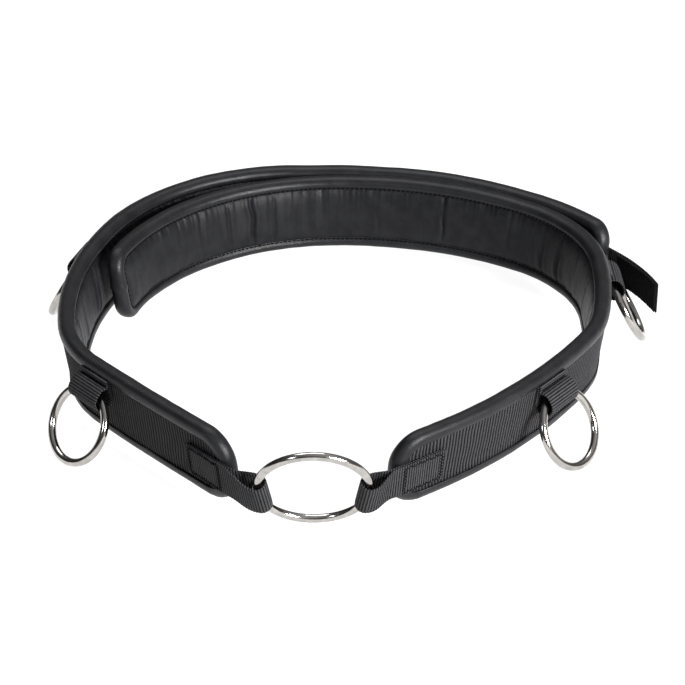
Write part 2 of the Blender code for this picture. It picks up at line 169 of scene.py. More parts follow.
def noise(seed, u, v=0.0):
    """Smooth value noise from -1 to 1 at grid coordinates u, v."""
    u, v = np.broadcast_arrays(np.asarray(u, float), np.asarray(v, float))
    table = np.random.default_rng(seed).uniform(-1, 1, (256, 256))
    iu, iv = np.floor(u).astype(int), np.floor(v).astype(int)
    fu, fv = u - iu, v - iv
    fu, fv = fu * fu * (3 - 2 * fu), fv * fv * (3 - 2 * fv)
    near, far = iu % 256, (iu + 1) % 256
    low, high = iv % 256, (iv + 1) % 256
    front = table[near, low] * (1 - fu) + table[far, low] * fu
    back = table[near, high] * (1 - fu) + table[far, high] * fu
    return front * (1 - fv) + back * fv


def piece(name, points, faces, finish, cloth=None):
    """A mesh piece; cloth holds each point's place on the material, for its pattern."""
    mesh = bpy.data.meshes.new(name)
    mesh.from_pydata(points.reshape(-1, 3).tolist(), [], faces)
    bm = bmesh.new()
    bm.from_mesh(mesh)
    bmesh.ops.recalc_face_normals(bm, faces=bm.faces)
    bm.to_mesh(mesh)
    bm.free()
    if cloth is None:
        cloth = points
    layer = mesh.attributes.new("cloth", "FLOAT_VECTOR", "POINT")
    layer.data.foreach_set("vector", np.ascontiguousarray(cloth, np.float32).ravel())
    mesh.shade_smooth()
    mesh.materials.append(finish)
    obj = bpy.data.objects.new(name, mesh)
    bpy.context.scene.collection.objects.link(obj)
    return obj


def sweep_faces(rows, size, closed):
    """Faces of a tube through rows of size points, capped unless it closes on itself."""
    faces = []
    for i in range(rows if closed else rows - 1):
        a, b = i * size, ((i + 1) % rows) * size
        for j in range(size):
            k = (j + 1) % size
            faces.append((a + j, a + k, b + k, b + j))
    if not closed:
        faces.append(tuple(range(size))[::-1])
        faces.append(tuple(range((rows - 1) * size, rows * size)))
    return faces


def sweep(name, sections, finish, cloth=None, closed=False):
    rows, size = sections.shape[:2]
    return piece(name, sections, sweep_faces(rows, size, closed), finish, cloth)


def threads(name, paths, radius, sides=6):
    """Many short threads in one piece; each path is an array of points."""
    all_points, all_faces, first = [], [], 0
    for path in paths:
        run = np.gradient(path, axis=0)
        run /= np.linalg.norm(run, axis=1, keepdims=True)
        helper = np.where(np.abs(run[:, 2:3]) > 0.9, [[1.0, 0, 0]], [[0, 0, 1.0]])
        a = np.cross(run, helper)
        a /= np.linalg.norm(a, axis=1, keepdims=True)
        b = np.cross(run, a)
        size = np.full(len(path), radius)
        size[0] = size[-1] = radius * 0.45
        turn = np.arange(sides) * 2 * math.pi / sides
        ring = np.cos(turn)[None, :, None] * a[:, None] + np.sin(turn)[None, :, None] * b[:, None]
        all_points.append((path[:, None] + ring * size[:, None, None]).reshape(-1, 3))
        for face in sweep_faces(len(path), sides, False):
            all_faces.append(tuple(first + i for i in face))
        first += len(path) * sides
    return piece(name, np.concatenate(all_points), all_faces, THREAD)


def resample(points, step, *others):
    """Even steps along a polyline, with other per-point arrays carried along."""
    length = np.concatenate([[0], np.cumsum(np.linalg.norm(np.diff(points, axis=0), axis=1))])
    at = np.linspace(0, length[-1], max(2, int(round(length[-1] / step)) + 1))

    def even(values):
        return np.stack([np.interp(at, length, values[:, i]) for i in range(3)], axis=1)

    return at, [even(values) for values in (points, *others)]


def bezier(p0, t0, t1, p1, count):
    u = np.linspace(0, 1, count + 1)[1:-1, None]
    v = 1 - u
    return p0 * v**3 + (p0 + t0) * 3 * u * v * v + (p1 - t1) * 3 * u * u * v + p1 * u**3


# ---- materials ---------------------------------------------------------------------------------


class Nodes:
    """A material's node tree, with short calls for the nodes used here."""

    def __init__(self, name, roughness, metallic=0.0, specular=0.5, sheen=0.0):
        self.material = bpy.data.materials.new(name)
        self.material.use_nodes = True
        self.tree = self.material.node_tree
        self.shader = self.tree.nodes["Principled BSDF"]
        self.shader.inputs["Roughness"].default_value = roughness
        self.shader.inputs["Metallic"].default_value = metallic
        self.shader.inputs["Specular IOR Level"].default_value = specular
        self.shader.inputs["Sheen Weight"].default_value = sheen
        self.shader.inputs["Sheen Roughness"].default_value = 0.45

    def add(self, kind, **inputs):
        node = self.tree.nodes.new(kind)
        for key, value in inputs.items():
            self.feed(node, key, value)
        return node

    def feed(self, node, key, value):
        numbered = key[0] == "i" and key[1:].isdigit()
        socket = node.inputs[int(key[1:]) if numbered else key.replace("_", " ")]
        if isinstance(value, bpy.types.NodeSocket):
            self.tree.links.new(value, socket)
        else:
            socket.default_value = value

    def place(self):
        """Where a point lies on the material, in millimetres."""
        attribute = self.tree.nodes.new("ShaderNodeAttribute")
        attribute.attribute_name = "cloth"
        vector = attribute.outputs["Vector"]
        mapping = self.add("ShaderNodeMapping", Vector=vector, Scale=(1000, 1000, 1000))
        return mapping.outputs["Vector"]

    def noise(self, scale, detail=3.0, roughness=0.55):
        node = self.add(
            "ShaderNodeTexNoise", Vector=self.place(), Scale=scale, Detail=detail, Roughness=roughness
        )
        return node.outputs["Fac"]

    def cells(self, scale):
        node = self.add("ShaderNodeTexVoronoi", Vector=self.place(), Scale=scale)
        node.feature = "DISTANCE_TO_EDGE"
        return node.outputs["Distance"]

    def math(self, operation, a, b=0.0):
        node = self.add("ShaderNodeMath", i0=a, i1=b)
        node.operation = operation
        return node.outputs["Value"]

    def ramp(self, factor, low, high, start=0.3, stop=0.7):
        node = self.add("ShaderNodeValToRGB", Fac=factor)
        first, last = node.color_ramp.elements
        first.position, last.position = start, stop
        first.color, last.color = (*low, 1.0), (*high, 1.0)
        return node.outputs["Color"]

    def span(self, factor, low, high):
        node = self.add("ShaderNodeMapRange", Value=factor, To_Min=low, To_Max=high)
        return node.outputs["Result"]

    def bump(self, height, distance, strength=1.0, normal=None):
        node = self.add("ShaderNodeBump", Height=height, Distance=distance, Strength=strength)
        if normal is not None:
            self.feed(node, "Normal", normal)
        return node.outputs["Normal"]

    def finish(self, colour=None, roughness=None, normal=None):
        for key, value in (("Base Color", colour), ("Roughness", roughness), ("Normal", normal)):
            if value is not None:
                self.feed(self.shader, key.replace(" ", "_"), value)
        return self.material


def leather(name, dark, light, roughness, specular):
    """Smooth dyed leather: a fine grain of cells and pores, and a slow drift in tone."""
    n = Nodes(name, roughness, specular=specular)
    cells = n.math("MINIMUM", n.cells(1.25), 0.35)
    pores = n.noise(2.6, detail=2.0)
    soft = n.noise(0.09, detail=4.0)
    grain = n.bump(cells, 0.00022, 0.55)
    normal = n.bump(pores, 0.00010, 0.5, grain)
    colour = n.ramp(soft, dark, light, 0.35, 0.68)
    worn = n.span(n.noise(0.35, detail=5.0), roughness - 0.09, roughness + 0.09)
    return n.finish(colour, worn, normal)


def webbing(name, dark, light, pitch, yarn):
    """Ribbed webbing: the ribs are in the mesh, the yarns within them are bump, and painted shade darkens
    the colour in the grooves between the ribs.
    """
    n = Nodes(name, 0.62, specular=0.09, sheen=0.01)
    split = n.tree.nodes.new("ShaderNodeSeparateXYZ")
    n.feed(split, "Vector", n.place())
    # painted shade: this rib wave runs in step with the mesh's ribs, and in the colour it darkens the
    # grooves between them
    rib = n.math("COSINE", n.math("MULTIPLY", split.outputs["X"], 2 * math.pi / pitch))
    across = n.math("SINE", n.math("MULTIPLY", split.outputs["Y"], 2 * math.pi / yarn))
    run = n.math("SINE", n.math("MULTIPLY", split.outputs["X"], 2 * math.pi / (yarn * 0.62)))
    yarns = n.math("MULTIPLY", across, run)
    fuzz = n.noise(3.2, detail=3.0)
    normal = n.bump(yarns, 0.00012, 0.6)
    normal = n.bump(fuzz, 0.00012, 0.5, normal)
    patch = n.noise(0.55, detail=5.0, roughness=0.7)
    tone = n.math("ADD", n.math("MULTIPLY", patch, 0.55), n.math("MULTIPLY", yarns, 0.18))
    # painted shade: the rib wave makes the rib tops lighter and the grooves between them darker
    tone = n.math("ADD", tone, n.math("MULTIPLY", rib, 0.32))
    return n.finish(n.ramp(tone, dark, light, 0.05, 0.62), None, normal)


def thread_finish():
    n = Nodes("black_thread", 0.6, specular=0.06)
    twist = n.noise(2.2, detail=2.0)
    colour = n.ramp(twist, (0.0008, 0.0008, 0.0010), (0.0040, 0.0040, 0.0048))
    return n.finish(colour, None, n.bump(twist, 0.0001))


def fuzzy(name, dark, light, scale):
    """Hook or loop pile: matt, with a tone that breaks up into tufts."""
    n = Nodes(name, 0.95, specular=0.05, sheen=0.02)
    pile = n.noise(scale, detail=6.0, roughness=0.75)
    return n.finish(n.ramp(pile, dark, light, 0.3, 0.75), None, n.bump(pile, 0.0005, 0.9))


def steel():
    n = Nodes("polished_steel", 0.12, metallic=1.0)
    smear = n.noise(0.16, detail=4.0)
    colour = n.ramp(smear, (0.36, 0.345, 0.325), (0.52, 0.505, 0.485))
    return n.finish(colour, n.span(smear, 0.10, 0.17))


RIM_LEATHER = leather(
    "rim_leather", (0.0056, 0.0057, 0.0066), (0.0096, 0.0097, 0.0112), roughness=0.38, specular=0.20
)
LINING_LEATHER = leather(
    "lining_leather", (0.0050, 0.0051, 0.0060), (0.0090, 0.0092, 0.0110), roughness=0.46, specular=0.13
)
# Both webbings carry painted shade in the grooves between their ribs.
WIDE_WEBBING = webbing(
    "wide_webbing", (0.0004, 0.0004, 0.0005), (0.0440, 0.0430, 0.0455), RIB_PITCH * 1000, yarn=0.9
)
STRAP_WEBBING = webbing(
    "strap_webbing", (0.0008, 0.0008, 0.0010), (0.0480, 0.0480, 0.0505), STRAP_RIB_PITCH * 1000, yarn=0.8
)
THREAD = thread_finish()
HOOK_TAPE = fuzzy("hook_tape", (0.0008, 0.0008, 0.0010), (0.0060, 0.0060, 0.0078), 1.6)
LOOP_PILE = fuzzy("loop_pile", (0.0020, 0.0020, 0.0022), (0.0100, 0.0100, 0.0110), 1.1)
STEEL = steel()

# ---- the padded halves ---------------------------------------------------------------------------

# Section of the leather binding as (n, distance in from the band's edge), in millimetres,
# from its sewn edge inside, over the roll, to the folded edge on the webbing and back.
BINDING_SECTION = np.array([
    (-4.55, 8.95), (-5.05, 9.00), (-5.42, 8.72), (-5.45, 8.10), (-5.62, 7.45), (-5.98, 6.60),
    (-6.22, 5.50), (-6.20, 4.50), (-5.92, 3.40), (-5.30, 2.30), (-4.30, 1.25), (-3.00, 0.50),
    (-1.55, 0.10), (0.00, 0.00), (1.55, 0.10), (3.00, 0.50), (4.30, 1.25), (5.30, 2.30),
    (5.95, 3.40), (6.30, 4.60), (6.42, 5.80), (6.40, 7.00), (6.25, 8.10), (6.02, 8.60),
    (5.65, 8.78), (5.25, 8.60), (5.12, 8.20), (4.40, 7.05), (0.00, 6.90), (-4.00, 7.05),
]) / 1000


def perimeter(band, step=0.0021):
    """Places round the band's edge as (s, w, inward s, inward w), and the length so far."""
    length, height, front, far = band.length, BAND_HEIGHT, FRONT_CORNER_RADIUS, FAR_CORNER_RADIUS

    def line(s0, w0, s1, w1, inward):
        ds, dw = s1 - s0, w1 - w0
        count = max(2, int(math.hypot(ds, dw) / step))
        return [(s0 + ds * i / count, w0 + dw * i / count, *inward) for i in range(count)]

    def corner(cs, cw, r, start):
        turns = [math.radians(start + 90 * i / 16) for i in range(16)]
        outs = [(math.cos(a), math.sin(a)) for a in turns]
        return [(cs + r * x, cw + r * y, -x, -y) for x, y in outs]

    places = line(front, 0, length - far, 0, (0, 1))
    places += corner(length - far, far, far, -90)
    places += line(length, far, length, height - far, (-1, 0))
    places += corner(length - far, height - far, far, 0)
    places += line(length - far, height, front, height, (0, -1))
    places += corner(front, height - front, front, 90)
    places += line(0, height - front, 0, front, (1, 0))
    places += corner(front, front, front, 180)
    places = np.array(places)
    steps = np.linalg.norm(np.diff(places[:, :2], axis=0, append=places[:1, :2]), axis=1)
    run = np.concatenate([[0], np.cumsum(steps)[:-1]])
    return places, run


def binding(side, band, seed):
    """The rolled leather round the whole half, with the small lumps of a hand-turned edge."""
    places, run = perimeter(band)
    s, w, in_s, in_w = (places[:, i][:, None] for i in range(4))
    n = BINDING_SECTION[None, :, 0]
    depth = BINDING_SECTION[None, :, 1]
    t = run[:, None]
    swell = 1 + 0.022 * noise(seed, t / 0.021) + 0.014 * noise(seed + 1, t / 0.0052, depth / 0.004)
    wander = 0.00035 * noise(seed + 2, t / 0.035) + 0.00012 * noise(seed + 3, t / 0.009)
    dimple = np.cos(2 * math.pi * t / STITCH_PITCH) * 0.00018
    groove = np.exp(-(((depth - STITCH_DEPTH) / 0.0007) ** 2)) * (n < 0)
    far_corner = band.length - FRONT_CORNER_RADIUS - FAR_CORNER_RADIUS + math.pi * FAR_CORNER_RADIUS / 2
    join = far_corner + 0.011
    lap = np.clip((t - join) / 0.0008, 0, 1) * np.clip((join + 0.007 - t) / 0.005, 0, 1) * 0.00060
    outside = (depth < 0.0086) * np.ones_like(t)
    n = n * swell + np.sign(n) * lap * outside + groove * (0.00042 + dimple)
    depth = depth * (2 - swell) + wander * (depth < 0.0066) - lap * (depth < 0.003)
    points = band.point(s + in_s * depth, n, w + in_w * depth)
    cloth = np.stack(np.broadcast_arrays(t, depth + n, n), axis=-1)
    obj = sweep(side + "_binding", points, RIM_LEATHER, cloth, closed=True)
    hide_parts(side + "_front_rim", side + "_wing_rim")
    return obj


def edge_distance(band, s, w, edge):
    """How far a point lies inside the round-cornered outline at this distance from the edge."""
    radius = np.where(s < band.length / 2, FRONT_CORNER_RADIUS, FAR_CORNER_RADIUS) - edge
    half_s, half_w = band.length / 2 - edge, BAND_HEIGHT / 2 - edge
    qs = np.abs(s - band.length / 2) - (half_s - radius)
    qw = np.abs(w - BAND_HEIGHT / 2) - (half_w - radius)
    outside = np.hypot(np.maximum(qs, 0), np.maximum(qw, 0))
    return radius - outside - np.minimum(np.maximum(qs, qw), 0)


def outline(band, edge, step):
    """Stations along the half, and the lowest w of the outline at each."""
    front, far = FRONT_CORNER_RADIUS - edge, FAR_CORNER_RADIUS - edge
    turns = 1 - np.cos(np.radians(np.arange(0, 90, 9)))
    first, last = edge, band.length - edge
    middle = np.linspace(first + front, last - far, int((last - first - front - far) / step))
    s = np.concatenate([first + front * turns, middle, (last - far * turns)[::-1]])
    radius = np.where(s < band.length / 2, front, far)
    end = np.minimum(np.minimum(s - first, last - s), radius)
    inset = radius - np.sqrt(np.maximum(0, radius**2 - (radius - end) ** 2))
    return s, edge + inset


def pad(side, band, creases, seed):
    """Foam in its leather lining: crowned inside, gathered into wrinkles along the stitching."""
    s, low = outline(band, PAD_EDGE, 0.00085)
    rows = 34
    across = (1 - np.cos(np.linspace(0, math.pi, rows))) / 2 * 0.75 + np.linspace(0, 1, rows) * 0.25
    s, low = s[:, None], low[:, None]
    w = low + (BAND_HEIGHT - 2 * low) * across[None, :]
    d = edge_distance(band, s, w, PAD_EDGE)
    top = np.maximum(0, BAND_HEIGHT - PAD_EDGE - w)
    bottom = np.maximum(0, w - PAD_EDGE)
    crown = PAD_CROWN * (1 - np.exp(-np.maximum(d - 0.0008, 0) / 0.0042))
    warp = s + 0.0012 * noise(seed, s / 0.017, w / 0.016)
    near_top, near_bottom = np.exp(-top / 0.0070), np.exp(-bottom / 0.0050)
    fine = noise(seed + 1, warp / 0.0016, w / 0.022) + 0.8 * noise(seed + 5, warp / 0.0031, w / 0.030)
    fine = fine * (0.00033 * near_top + 0.00017 * near_bottom + 0.00004)
    fold = 0.00065 * noise(seed + 3, warp / 0.0060, w / 0.060) * (0.35 + 0.65 * np.exp(-top / 0.016))
    swell = 0.00042 * noise(seed + 4, s / 0.019, w / 0.080)
    surface = crown + fine + fold + swell
    for index, (place, depth) in enumerate(creases):
        lean = 0.05 * math.sin(index * 2.1)
        line = place + lean * (w - BAND_HEIGHT / 2) + 0.0011 * noise(seed + 9, w / 0.011, index * 3.7)
        away = s - line
        dip = np.exp(-((away / 0.0012) ** 2)) - 0.5 * np.exp(-(((np.abs(away) - 0.0036) / 0.0024) ** 2))
        fade = 0.75 + 0.45 * noise(seed + 8, w / 0.013, index * 5.3)
        ends = np.clip(0.35 + top / 0.010, 0, 1) * np.clip(bottom / 0.008, 0, 1)
        surface = surface - depth * fade * dip * ends
    surface = surface * np.clip(d / 0.0016, 0, 1)
    inner = band.point(s, PAD_FACE - surface, w)
    back = low + (BAND_HEIGHT - 2 * low) * across[None, ::-8]
    outer = band.point(s, PAD_BACK, back)
    flat = np.stack(np.broadcast_arrays(s, w, 0.0 * w), axis=-1)
    flat_back = np.stack(np.broadcast_arrays(s, back, 0.01), axis=-1)
    points, cloth = np.concatenate([inner, outer], axis=1), np.concatenate([flat, flat_back], axis=1)
    obj = sweep(side + "_pad", points, LINING_LEATHER, cloth)
    layers = [side + part for part in ("_front_lining", "_wing_lining", "_front_foam", "_wing_foam")]
    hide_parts(*layers)
    return obj


def wide_webbing(side, band, seed):
    """Webbing whose ribs run across it, a little wavy, as woven."""
    s, low = outline(band, WEBBING_EDGE, RIB_PITCH / 7)
    rows = 12
    across = np.linspace(0, 1, rows)
    s, low = s[:, None], low[:, None]
    w = low + (BAND_HEIGHT - 2 * low) * across[None, :]
    drift = 0.0010 * noise(seed, s / 0.05, w / 0.015) + 0.0004 * noise(seed + 1, s / 0.009, w / 0.008)
    rib = np.cos(2 * math.pi * (s + drift) / RIB_PITCH)
    rise = RIB_RISE * np.sign(rib) * np.abs(rib) ** 0.7
    bow = 0.0004 * noise(seed + 2, s / 0.045, w / 0.05)
    n = WEBBING_FACE - 0.0002 + rise + bow
    outer = band.point(s, n, w)
    back = low + (BAND_HEIGHT - 2 * low) * BACK_ROWS
    inner = band.point(s, WEBBING_BACK, back)
    flat = np.stack(np.broadcast_arrays(s + drift, w, 0.0 * w), axis=-1)
    under = np.stack(np.broadcast_arrays(s, back, 0.01), axis=-1)
    points, cloth = np.concatenate([outer, inner], axis=1), np.concatenate([flat, under], axis=1)
    obj = sweep(side + "_wide_webbing", points, WIDE_WEBBING, cloth)
    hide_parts(side + "_front_webbing", side + "_wing_webbing")
    return obj


def seam(side, band):
    """Stitches all round the half, through the binding's inner edge."""
    places, _ = perimeter(band, 0.001)
    s = places[:, 0] + places[:, 2] * STITCH_DEPTH
    w = places[:, 1] + places[:, 3] * STITCH_DEPTH
    loop = np.stack([s, w, 0 * s], axis=1)
    at, (even,) = resample(np.concatenate([loop, loop[:1]]), STITCH_PITCH / 8)
    arch = np.array([0.30, -0.12, -0.25, -0.28, -0.25, -0.12, 0.30]) / 1000
    paths = []
    for i in range(0, len(at) - 8, 8):
        part = even[i : i + 7]
        paths.append(band.point(part[:, 0], STITCH_LEVEL + arch, part[:, 1]))
    return threads(side + "_seam", paths, SEAM_THREAD)


# ---- straps, tabs and rings -----------------------------------------------------------------------


def ribbon(name, centre, across, width):
    """Webbing along a path, with rounded edges and ribs across it."""
    at, (centre, across) = resample(centre, STRAP_RIB_PITCH / 6, centre * 0 + across)
    run = np.gradient(centre, axis=0)
    through = np.cross(run, across)
    through /= np.linalg.norm(through, axis=1, keepdims=True)
    across = across / np.linalg.norm(across, axis=1, keepdims=True)
    span = np.array([-1, -0.99, -0.93, -0.6, -0.2, 0.2, 0.6, 0.93, 0.99, 1])
    thick = np.array([0.30, 0.72, 0.97, 1, 1, 1, 1, 0.97, 0.72, 0.30])
    u = np.concatenate([span, span[::-1]])[None, :, None] * width / 2
    side = np.concatenate([thick, -thick[::-1]])[None, :, None]
    phase = (2 * math.pi * at / STRAP_RIB_PITCH)[:, None, None]
    rib = np.cos(phase)
    height = side * (STRAP_THICKNESS / 2 + STRAP_RIB_RISE * (np.sign(rib) * np.abs(rib) ** 0.6 - 1))
    frayed = 1 + 0.010 * np.cos(phase + 0.7) * (np.abs(u) > 0.45 * width)
    points = centre[:, None] + across[:, None] * u * frayed + through[:, None] * height
    cloth = np.stack(np.broadcast_arrays(at[:, None], u[:, :, 0], side[:, :, 0] * 0.01), axis=-1)
    return sweep(name, points, STRAP_WEBBING, cloth)


def ramp(distance):
    """How far a sewn strap has risen, from 0 to 1, where it climbs the rim at the band's end."""
    return np.clip((RAMP_END + RAMP_LENGTH - distance) / RAMP_LENGTH, 0, 1)


def ring_directions():
    """The large ring's own directions, across and upward."""
    tilt = math.radians(CENTRE_RING_TILT)
    return np.array([1.0, 0, 0]), np.array([0, -math.sin(tilt), math.cos(tilt)])


def centre_ring_middle():
    _, upward = ring_directions()
    x, y = CENTRE_RING_PLACE
    return np.array([x + FRAME_SHIFT[0], y + FRAME_SHIFT[1], WIRE_RADIUS + CENTRE_RING_RADIUS * upward[2]])


def grip_radius(radius, width):
    """From a ring's middle to the middle of the wire that a strap of this width spans."""
    innermost = math.sqrt((radius - WIRE_RADIUS) ** 2 - (width / 2) ** 2)
    return (radius + WIRE_RADIUS + innermost) / 2


def half_turn(eye, lateral, forward, radius, count=40):
    a = np.linspace(0, math.pi, count + 1)[:, None]
    return eye + (lateral * np.cos(a) + forward * np.sin(a)) * radius


def front_strap(side, band, hand):
    """Sewn on the webbing, over the end rim, round the large ring and back beneath."""
    across_ring, upward = ring_directions()
    angle = math.radians(CENTRE_RING_GRIP)
    spoke = across_ring * (hand * math.cos(angle)) - upward * math.sin(angle)
    wire = across_ring * (hand * math.sin(angle)) + upward * math.cos(angle)
    eye = centre_ring_middle() + spoke * grip_radius(CENTRE_RING_RADIUS, STRAP_WIDTH)
    s = np.linspace(STRAP_PATCH_LENGTH, 0, 60)
    rise = (BAND_THICKNESS / 2 - WEBBING_FACE) * ramp(s)

    def sewn(level):
        n = WEBBING_FACE + GAP + STRAP_THICKNESS * (level + 0.5) + GAP * level + rise
        return band.point(s, n, STRAP_HEIGHT)

    outer, inner = sewn(1), sewn(0)
    lateral = unit(np.cross(unit(eye - inner[-1]), wire))
    if lateral @ band.out(0.0) < 0:
        lateral = -lateral
    forward = unit(np.cross(wire, lateral))
    if forward @ (eye - inner[-1]) < 0:
        forward = -forward
    radius = STRAP_EYE + STRAP_THICKNESS / 2
    leave = -band.along(0.0)
    reach = np.linalg.norm(eye - outer[-1]) * STRAP_REACH
    points = np.concatenate([
        outer,
        bezier(outer[-1], leave * reach, forward * reach, eye + lateral * radius, 40),
        half_turn(eye, lateral, forward, radius),
        bezier(eye - lateral * radius, -forward * reach, -leave * reach, inner[-1], 40),
        inner[::-1],
    ])
    near = np.clip((points - eye) @ forward / ((outer[-1] - eye) @ forward), 0, 1)[:, None]
    slack = math.radians(STRAP_SLACK)
    aside = unit(np.cross(forward, wire)) * hand
    standing = wire * math.cos(slack) + aside * math.sin(slack)
    across = standing * (1 - near) + band.up(0.0) * near
    obj = ribbon(side + "_front_strap_webbing", points, across, STRAP_WIDTH)
    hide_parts(side + "_front_strap")
    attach(obj, side + "_front")
    first, last = 0.0065, STRAP_PATCH_LENGTH - 0.003
    zigzag = box_stitch(band, first, last, STRAP_HEIGHT, STRAP_WIDTH / 2 - 0.002, level=1)
    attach(threads(side + "_strap_stitching", zigzag, STRAP_THREAD), side + "_front")


def box_stitch(band, first, last, middle, half, level):
    """A zigzag round a box, lying on the strap sewn on at this level, from 0 upward."""
    corners = [(first, -half), (last, -half), (last, half), (first, half), (first, -half)]
    face = WEBBING_FACE + GAP + (STRAP_THICKNESS + GAP) * level + STRAP_THICKNESS
    paths = []
    for (s0, w0), (s1, w1) in zip(corners, corners[1:]):
        reach = math.hypot(s1 - s0, w1 - w0)
        count = int(reach / 0.0013)
        u = np.linspace(0, 1, count + 1)
        swing = np.where(np.arange(count + 1) % 2 == 0, -0.0012, 0.0012)
        along = np.array([s1 - s0, w1 - w0]) / reach
        s = s0 + (s1 - s0) * u - along[1] * swing
        w = middle + w0 + (w1 - w0) * u + along[0] * swing
        rise = (BAND_THICKNESS / 2 - WEBBING_FACE) * ramp(s)
        paths.append(band.point(s, face + rise + 0.00012, w))
    return paths


def tab_frame(band, s):
    """The middle of a tab's fold, and the directions along the band and out of it."""
    eye = band.point(s, TAB_EYE_OFFSET, TAB_EYE_HEIGHT)
    return eye, band.along(s), band.out(s)


def side_tab(place, band, s, body):
    """Sewn under the top rim, folded round a ring and back beneath."""
    eye, along, out = tab_frame(band, s)
    inner_n = WEBBING_FACE + GAP + STRAP_THICKNESS / 2
    outer_n = inner_n + STRAP_THICKNESS + GAP
    outer = band.point(s, outer_n, np.linspace(TAB_TOP + 0.0012, TAB_SEAM, 12))
    inner = band.point(s, inner_n, np.linspace(TAB_TOP + 0.0012, TAB_FLAT, 16))
    seam_inner = band.point(s, inner_n, TAB_SEAM)
    drop = unit(outer[-1] - outer[0])
    forward = unit(eye - (outer[-1] + seam_inner) / 2)
    lateral = unit(np.cross(along, forward))
    if lateral @ out < 0:
        lateral = -lateral
    radius = TAB_EYE + STRAP_THICKNESS / 2
    points = np.concatenate([
        outer,
        bezier(outer[-1], drop * 0.0015, forward * 0.011, eye + lateral * radius, 40),
        half_turn(eye, lateral, forward, radius),
        bezier(eye - lateral * radius, -forward * 0.0018, -drop * 0.0015, inner[-1], 16),
        inner[::-1],
    ])
    across = np.repeat(along[None], len(points), axis=0)
    obj = ribbon(place + "_tab_webbing", points, across, TAB_WIDTH)
    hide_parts(place + "_tab")
    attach(obj, body)
    u = np.linspace(-TAB_WIDTH / 2 + 0.002, TAB_WIDTH / 2 - 0.002, 26)
    swing = np.where(np.arange(26) % 2 == 0, -0.0010, 0.0010)
    paths = []
    for height, lift in ((TAB_SEAM + 0.0009, 0.0), (TAB_SEAM - 0.0014, 0.0005)):
        base = band.point(s, outer_n + STRAP_THICKNESS / 2 + 0.0002 + lift, height)
        paths.append(base + along * u[:, None] + band.up(s) * swing[:, None])
    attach(threads(place + "_tab_stitching", paths, TAB_THREAD), body)


def ring(node, centre, across, down, radius):
    """A ring of round wire with its weld at the bottom."""
    around, wire = 144, 28
    turn = np.linspace(0, 2 * math.pi, around, endpoint=False)[:, None, None]
    angle = np.linspace(0, 2 * math.pi, wire, endpoint=False)[None, :, None]
    axis = unit(np.cross(across, down))
    spoke = across * np.cos(turn) + down * np.sin(turn)
    away = (turn - math.pi / 2 - 0.12) * radius
    bead = 0.00016 * np.exp(-((away / 0.0016) ** 2))
    groove = 0.00022 * np.exp(-(((away - 0.0004) / 0.0005) ** 2))
    reach = WIRE_RADIUS - 0.00002 + bead - groove
    points = centre + spoke * radius + (spoke * np.cos(angle) + axis * np.sin(angle)) * reach
    round_ring, round_wire = turn[..., 0] * radius, angle[..., 0] * WIRE_RADIUS
    cloth = np.stack(np.broadcast_arrays(round_ring, round_wire, 0.0), axis=-1)
    obj = sweep(node + "_steel", points, STEEL, cloth, closed=True)
    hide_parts(node)
    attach(obj, node)


def side_ring(place, band, s):
    eye, along, out = tab_frame(band, s)
    arm = grip_radius(SIDE_RING_RADIUS, TAB_WIDTH)
    lean = math.acos((eye[2] - WIRE_RADIUS) / (SIDE_RING_RADIUS + arm))
    down = out * math.sin(lean) - np.array([0, 0, 1.0]) * math.cos(lean)
    ring(place + "_ring", eye + down * arm, along, down, SIDE_RING_RADIUS)


# ---- closure ----------------------------------------------------------------------------------------


def tail_points(offset, run):
    """Plan of the free tail, running on from the end of the outer half."""
    root = LEFT.point(LEFT.length, TAIL_OFFSET, TAIL_HEIGHT)
    begin = float(LEFT.plan(LEFT.length)[2]) + math.radians(TAIL_SPLAY)
    curve = math.radians(TAIL_CURL) / TAIL_LENGTH
    turned = begin + curve * run
    ahead = (np.sin(turned) - math.sin(begin)) / curve
    aside = (math.cos(begin) - np.cos(turned)) / curve
    normal = np.stack([-np.sin(turned), np.cos(turned), 0 * turned], axis=1)
    return root + np.stack([ahead, aside, 0 * ahead], axis=1) + normal * offset, normal


def rough_sheet(name, centre, up, normal, width, thickness, height, finish, seed):
    """A thin tape with a fuzzy face on the side its normal points to."""
    rows = 40
    at, (centre, up, normal) = resample(centre, 0.0007, up, normal)
    v = np.linspace(-0.5, 0.5, rows)
    ragged = width + 0.0006 * noise(seed, at / 0.0016)
    base = centre[:, None] + up[:, None] * (v[None, :, None] * ragged[:, None, None])
    fuzz = 0.5 + 0.5 * noise(seed + 1, at[:, None] / 0.0008, v[None, :] * width / 0.0008)
    fuzz = fuzz * np.clip((0.5 - np.abs(v))[None, :] * width / 0.001, 0.2, 1)
    face = base + normal[:, None] * (thickness / 2 + height * fuzz[..., None])
    back = base[:, ::-13] - normal[:, None] * thickness / 2
    flat = np.stack(np.broadcast_arrays(at[:, None], v[None, :] * width, 0.0), axis=-1)
    points = np.concatenate([face, back], axis=1)
    cloth = np.concatenate([flat, flat[:, ::-13] + np.array([0, 0, 0.01])], axis=1)
    return sweep(name, points, finish, cloth)


